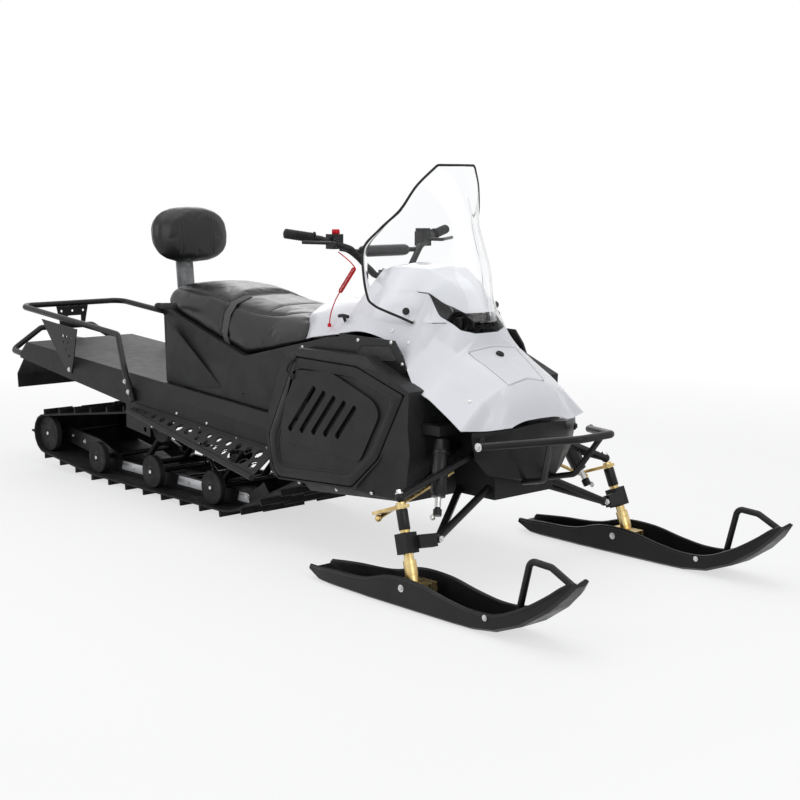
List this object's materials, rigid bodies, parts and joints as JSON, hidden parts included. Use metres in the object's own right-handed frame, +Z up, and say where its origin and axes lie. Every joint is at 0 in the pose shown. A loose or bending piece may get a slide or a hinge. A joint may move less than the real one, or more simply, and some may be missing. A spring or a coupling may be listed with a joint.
{
  "type": "snowmobile",
  "caption": "Two-seat utility snowmobile with a long track under a tunnel, sprung steering skis, white hood, tall windshield, backrest and rear tube rack.",
  "frame": {"origin": "on the ground, under the middle of the machine's length and width", "axes": "+X forward, towards the ski tips; +Y to the machine's left; +Z up"},
  "size_m": [3.51, 1.11, 1.299],
  "materials": {
    "white_plastic": "gloss",
    "grained_plastic": "fine grain",
    "black_plastic": "satin",
    "black_metal": "satin",
    "black_steel": "satin",
    "black_rubber": "matte",
    "track_rubber": "matte",
    "bare_aluminium": "satin",
    "shock_black": "gloss",
    "seat_vinyl": "semi-gloss vinyl",
    "webbing": "woven",
    "grey_steel": "satin",
    "engine_metal": "cast",
    "lamp_glass": "smoked",
    "lamp_silver": "metallised",
    "clear_screen": "clear",
    "yellow_zinc": "passivated",
    "ski_plastic": "satin",
    "red_cord": "gloss"
  },
  "bodies": {
    "chassis": {"tunnel": "black_metal", "snow_flap": "black_rubber", "running_boards": "black_metal", "track": "track_rubber", "track_wheels": "black_plastic", "slide_rails": "bare_aluminium", "swing_arms": "black_steel", "shocks": "shock_black", "drive_axle": "black_plastic", "tail_bar": "black_steel", "tow_hitch": "black_steel", "rear_rack": "black_steel", "seat_base": "grained_plastic", "driver_seat": "seat_vinyl", "passenger_seat": "seat_vinyl", "seat_strap": "webbing", "backrest_pad": "seat_vinyl", "backrest_post": "grey_steel", "grab_handles": "black_rubber", "lower_body": "grained_plastic", "engine_block": "engine_metal", "intake_panels": "black_plastic", "console": "white_plastic", "hood": "white_plastic", "headlight_lens": "lamp_glass", "headlight_unit": "lamp_silver", "windshield": "clear_screen", "nose_cover": "black_plastic", "front_frame": "black_steel", "front_bumper": "black_steel", "front_arms": "black_steel", "spindle_housings": "black_metal", "tether_cord": "red_cord", "tether_coil": "red_cord"},
    "handlebar": {"handlebar": "black_steel", "handlebar_grips": "black_rubber", "handlebar_controls": "black_plastic"},
    "spindle_right": {"spindle_right": "yellow_zinc"},
    "spindle_left": {"spindle_left": "yellow_zinc"},
    "ski_right": {"ski_right": "ski_plastic"},
    "ski_left": {"ski_left": "ski_plastic"},
    "tie_rod_right": {"tie_rod_right": "yellow_zinc"},
    "tie_rod_left": {"tie_rod_left": "yellow_zinc"},
    "side_panel_right": {"side_panel_right": "grained_plastic"},
    "side_panel_left": {"side_panel_left": "grained_plastic"},
    "hood_hatch": {"hood_hatch": "white_plastic"}
  },
  "joints": [
    {"name": "handlebar_turn", "type": "hinge", "parent": "chassis", "child": "handlebar", "pos_m": [0.445, 0, 0.9], "axis": [-0.4226, 0, 0.9063], "range_deg": [-33, 33]},
    {"name": "spindle_right_turn", "type": "hinge", "parent": "chassis", "child": "spindle_right", "pos_m": [1.08, -0.49, 0.18], "axis": [-0.3243, 0.089, 0.9418], "range_deg": [-30, 30]},
    {"name": "spindle_left_turn", "type": "hinge", "parent": "chassis", "child": "spindle_left", "pos_m": [1.08, 0.49, 0.18], "axis": [-0.3243, -0.089, 0.9418], "range_deg": [-30, 30]},
    {"name": "ski_right_pitch", "type": "hinge", "parent": "spindle_right", "child": "ski_right", "pos_m": [1.122, -0.485, 0.062], "axis": [0, 1, 0], "range_deg": [-12, 12], "stiffness_Nm_per_rad": 250},
    {"name": "ski_left_pitch", "type": "hinge", "parent": "spindle_left", "child": "ski_left", "pos_m": [1.122, 0.485, 0.062], "axis": [0, 1, 0], "range_deg": [-12, 12], "stiffness_Nm_per_rad": 250},
    {"name": "tie_rod_right_slide", "type": "slide", "parent": "chassis", "child": "tie_rod_right", "axis": [-0.029, -0.996, 0.0842], "range_m": [-0.06, 0.06]},
    {"name": "tie_rod_left_slide", "type": "slide", "parent": "chassis", "child": "tie_rod_left", "axis": [0.029, -0.996, -0.0842], "range_m": [-0.06, 0.06]},
    {"name": "side_panel_right_open", "type": "hinge", "parent": "chassis", "child": "side_panel_right", "pos_m": [0.271, -0.351, 0.239], "axis": [0.9981, 0, 0.0616], "range_deg": [0, 85]},
    {"name": "side_panel_left_open", "type": "hinge", "parent": "chassis", "child": "side_panel_left", "pos_m": [0.271, 0.351, 0.239], "axis": [-0.9981, 0, -0.0616], "range_deg": [0, 85]},
    {"name": "hood_hatch_open", "type": "hinge", "parent": "chassis", "child": "hood_hatch", "pos_m": [1.102, 0, 0.641], "axis": [0, 1, 0], "range_deg": [0, 75]}
  ],
  "couplings": [
    {"joint": "spindle_right_turn", "follows": "handlebar_turn", "ratio": 0.9},
    {"joint": "spindle_left_turn", "follows": "handlebar_turn", "ratio": 0.9},
    {"joint": "tie_rod_right_slide", "follows": "handlebar_turn", "m_per_rad": 0.1008},
    {"joint": "tie_rod_left_slide", "follows": "handlebar_turn", "m_per_rad": 0.1008}
  ]
}
